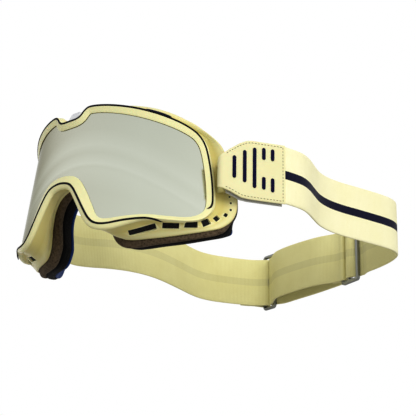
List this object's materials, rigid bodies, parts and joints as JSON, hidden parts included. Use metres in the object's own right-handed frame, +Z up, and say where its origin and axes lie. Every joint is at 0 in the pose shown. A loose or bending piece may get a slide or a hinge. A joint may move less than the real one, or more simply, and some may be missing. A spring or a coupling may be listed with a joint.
{
  "type": "motocross goggles",
  "caption": "Wide mirror-lens goggles with a foam face seal and an adjustable webbing strap that is hooked on hinged side tabs.",
  "frame": {"origin": "on the axis of the lens curve at the middle of the lens height, about the middle of the wearer's head", "axes": "+X to the wearer's left, the lens faces -Y, +Z up as worn"},
  "size_m": [0.2206, 0.3037, 0.1044],
  "materials": {
    "frame": "satin moulded plastic, cream",
    "lens": "silver mirror coating",
    "pinstripe": "black cord",
    "plate": "bare silver plate",
    "bars": "navy print",
    "filter": "black filter foam",
    "foam_brown": "open brown foam",
    "foam_black": "dense black foam",
    "fleece": "blue fleece",
    "pin": "plain pin",
    "tab": "satin moulded skin, cream",
    "lining": "pale grey lining",
    "webbing": "woven cream webbing with a navy band",
    "buckle": "grey metal"
  },
  "bodies": {
    "frame": {"frame_shell": "frame", "lens": "lens", "stripe_upper": "pinstripe", "stripe_lower": "pinstripe", "brow_badge": "plate", "brow_bars": "bars", "vent_foam_left": "filter", "vent_foam_right": "filter", "foam_base": "foam_brown", "foam_core": "foam_black", "foam_face": "fleece", "strap_post_left": "pin", "strap_post_right": "pin", "strap_long": "webbing", "strap_short": "webbing"},
    "left_tab": {"tab_left": "tab", "tab_lining_left": "lining", "tab_bars_left": "bars"},
    "right_tab": {"tab_right": "tab", "tab_lining_right": "lining", "tab_bars_right": "bars"},
    "slider": {"adjuster_slider": "buckle"},
    "ring": {"adjuster_ring": "buckle"}
  },
  "joints": [
    {"name": "tab_left_hinge", "type": "hinge", "parent": "frame", "child": "left_tab", "pos_m": [0.08841, -0.02055, 0], "axis": [0, 0, 1], "range_deg": [-12, 14], "deforming": ["strap_long"]},
    {"name": "tab_right_hinge", "type": "hinge", "parent": "frame", "child": "right_tab", "pos_m": [-0.08841, -0.02055, 0], "axis": [0, 0, 1], "range_deg": [-2, 24], "deforming": ["strap_short"]},
    {"name": "slider_slide", "type": "slide", "parent": "frame", "child": "slider", "axis": [-0.9397, 0.342, 0], "range_m": [0, 0.04], "deforming": ["strap_long"]},
    {"name": "ring_pivot", "type": "hinge", "parent": "frame", "child": "ring", "pos_m": [-0.043, 0.2135, 0.006], "axis": [0, 0, 1], "range_deg": [-8, 8], "deforming": ["strap_short", "strap_long"]}
  ]
}
